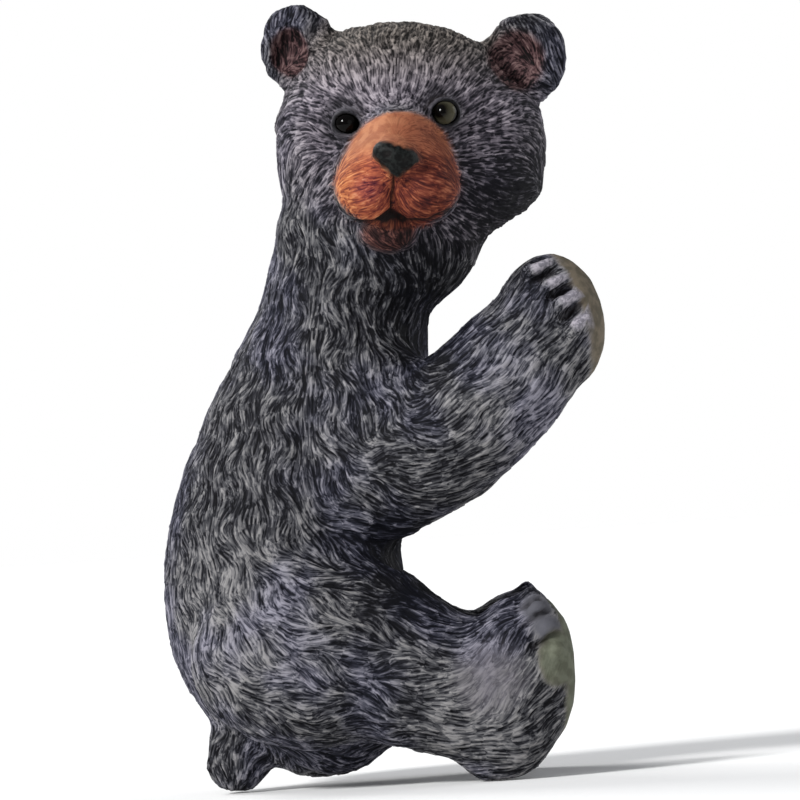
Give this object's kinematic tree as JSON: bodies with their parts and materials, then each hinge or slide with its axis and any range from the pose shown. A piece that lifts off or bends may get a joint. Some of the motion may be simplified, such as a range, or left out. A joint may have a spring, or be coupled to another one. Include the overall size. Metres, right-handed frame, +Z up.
{
  "type": "bear sculpture",
  "caption": "Climbing bear cub sculpture with carved fur, set-in glossy eyes and flat palms and soles that lie against a post.",
  "frame": {"origin": "on the ground, under the middle of the figure's bounding box", "axes": "+Z up, +X towards the post that the cub climbs, -Y the side that its head turns to"},
  "size_m": [0.198, 0.1698, 0.3394],
  "materials": {
    "painted_resin": "cast resin, painted black and dry-brushed grey, matt",
    "eye_gloss": "moulded acrylic eye, high gloss"
  },
  "bodies": {
    "root": {"bear": "painted_resin", "eye_right": "eye_gloss", "eye_left": "eye_gloss"}
  },
  "joints": []
}
